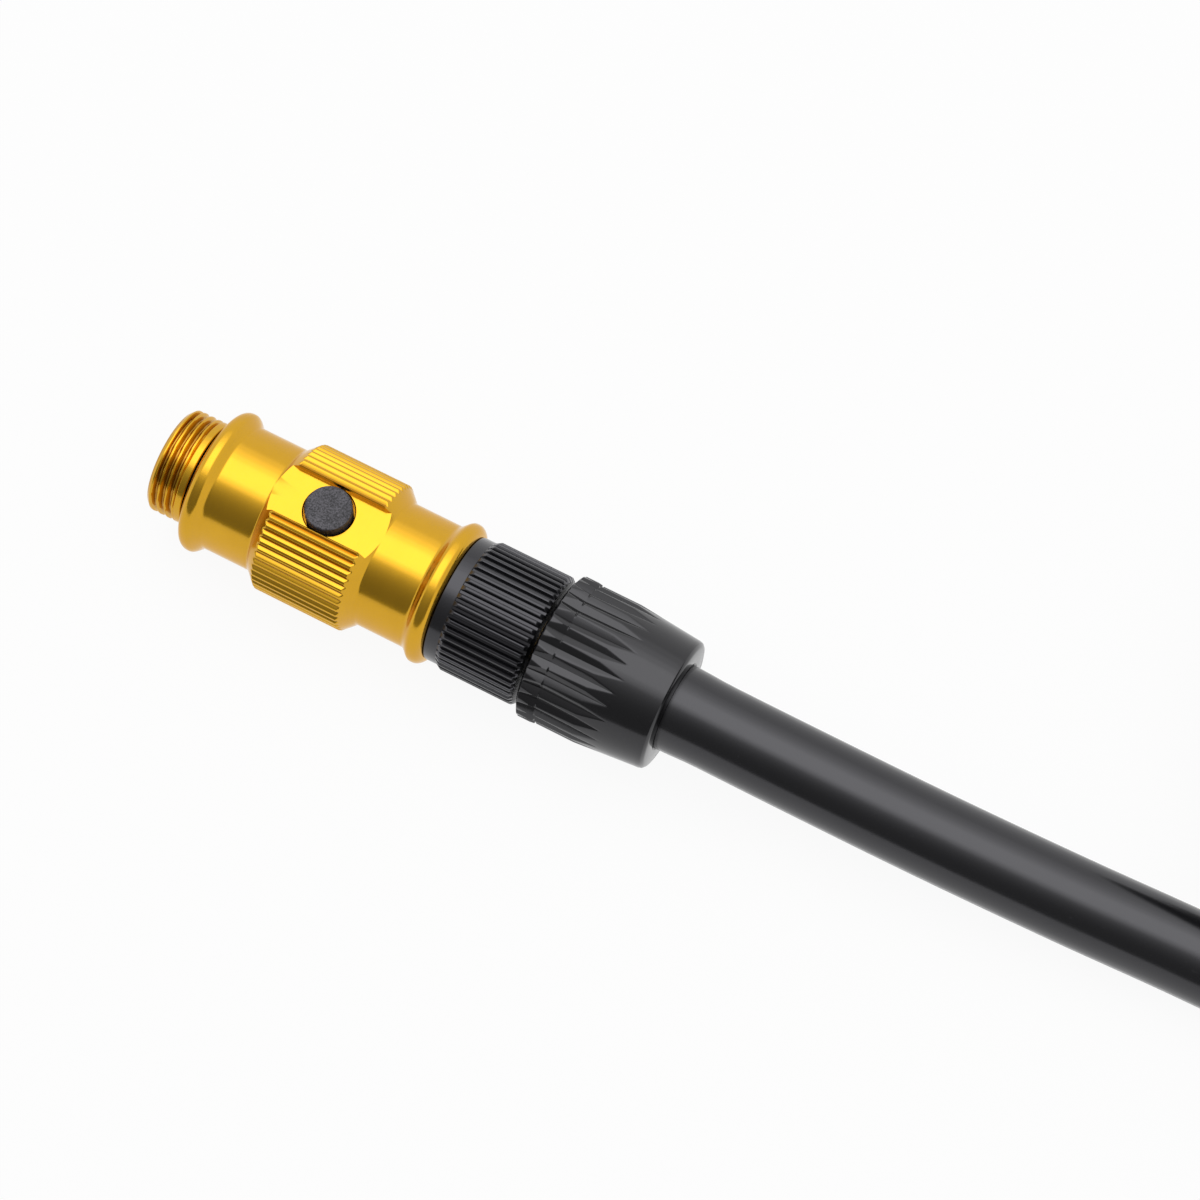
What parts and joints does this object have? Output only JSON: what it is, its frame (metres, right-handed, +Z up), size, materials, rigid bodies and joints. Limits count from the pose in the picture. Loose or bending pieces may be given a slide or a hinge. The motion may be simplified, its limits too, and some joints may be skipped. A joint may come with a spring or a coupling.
{
  "type": "inflator hose with valve chuck",
  "caption": "Black inflator hose with a gold reversible screw-on valve chuck, bleed button, knurled hose end, fluted strain-relief boot and a tied coil that ends in a hex pump nut.",
  "frame": {"origin": "On the surface that the hose lies on, under the middle of the chuck, hose end and boot.", "axes": "+X along the chuck's axis towards the hose, +Z up out of the bleed button."},
  "size_m": [0.1921, 0.0926, 0.0188],
  "materials": {
    "gold_anodised": "gold anodised, turned, bright",
    "black_anodised": "black anodised, satin",
    "boot_plastic": "black, semi-gloss",
    "hose_rubber": "black, smooth satin",
    "button_plastic": "dark grey, fine grain",
    "seal_rubber": "black, smooth",
    "brass": "turned",
    "steel": "zinc plated",
    "tie_fabric": "black woven hook-and-loop strap"
  },
  "bodies": {
    "hose": {"hose_barb": "brass", "hose_ferrule": "steel", "hose_clamped_end": "hose_rubber", "strain_relief_boot": "boot_plastic", "hose_run": "hose_rubber", "hose_coil": "hose_rubber", "hose_tie_1": "tie_fabric", "hose_tie_2": "tie_fabric", "pump_hose_end": "hose_rubber", "pump_ferrule": "steel", "pump_barb": "brass", "pump_washer": "seal_rubber"},
    "hose_end": {"hose_end": "black_anodised", "hose_end_seal": "seal_rubber"},
    "chuck_travel": {"hose_side_o_ring": "seal_rubber"},
    "chuck": {"chuck_body": "gold_anodised", "valve_side_o_ring": "seal_rubber", "car_valve_gasket": "seal_rubber", "car_valve_pin": "brass", "slim_valve_gasket": "seal_rubber", "bleed_bush": "brass", "bleed_spring": "steel"},
    "bleed_button": {"bleed_button": "button_plastic", "bleed_stem": "steel", "bleed_seal": "seal_rubber"},
    "pump_nut": {"pump_nut": "black_anodised"}
  },
  "joints": [
    {"name": "hose_end_swivel", "type": "hinge", "parent": "hose", "child": "hose_end", "pos_m": [0.0084, 0, 0.00725], "axis": [1, 0, 0], "continuous": true},
    {"name": "chuck_advance", "type": "slide", "parent": "hose_end", "child": "chuck_travel", "axis": [-1, 0, 0], "range_m": [0, 0.00263]},
    {"name": "chuck_turn", "type": "hinge", "parent": "chuck_travel", "child": "chuck", "pos_m": [-0.00903, 0, 0.00725], "axis": [-1, 0, 0], "range_deg": [0, 1261]},
    {"name": "bleed_press", "type": "slide", "parent": "chuck", "child": "bleed_button", "axis": [0, 0, -1], "range_m": [0, 0.0006], "stiffness_N_per_m": 300, "springref_m": -0.003, "deforming": ["bleed_spring"]},
    {"name": "pump_nut_swivel", "type": "hinge", "parent": "hose", "child": "pump_nut", "pos_m": [0.1599, 0.07072, 0.00883], "axis": [0, 0.9877, -0.1564], "continuous": true}
  ],
  "couplings": [
    {"joint": "chuck_turn", "follows": "chuck_advance", "rad_per_m": 8377.6}
  ]
}
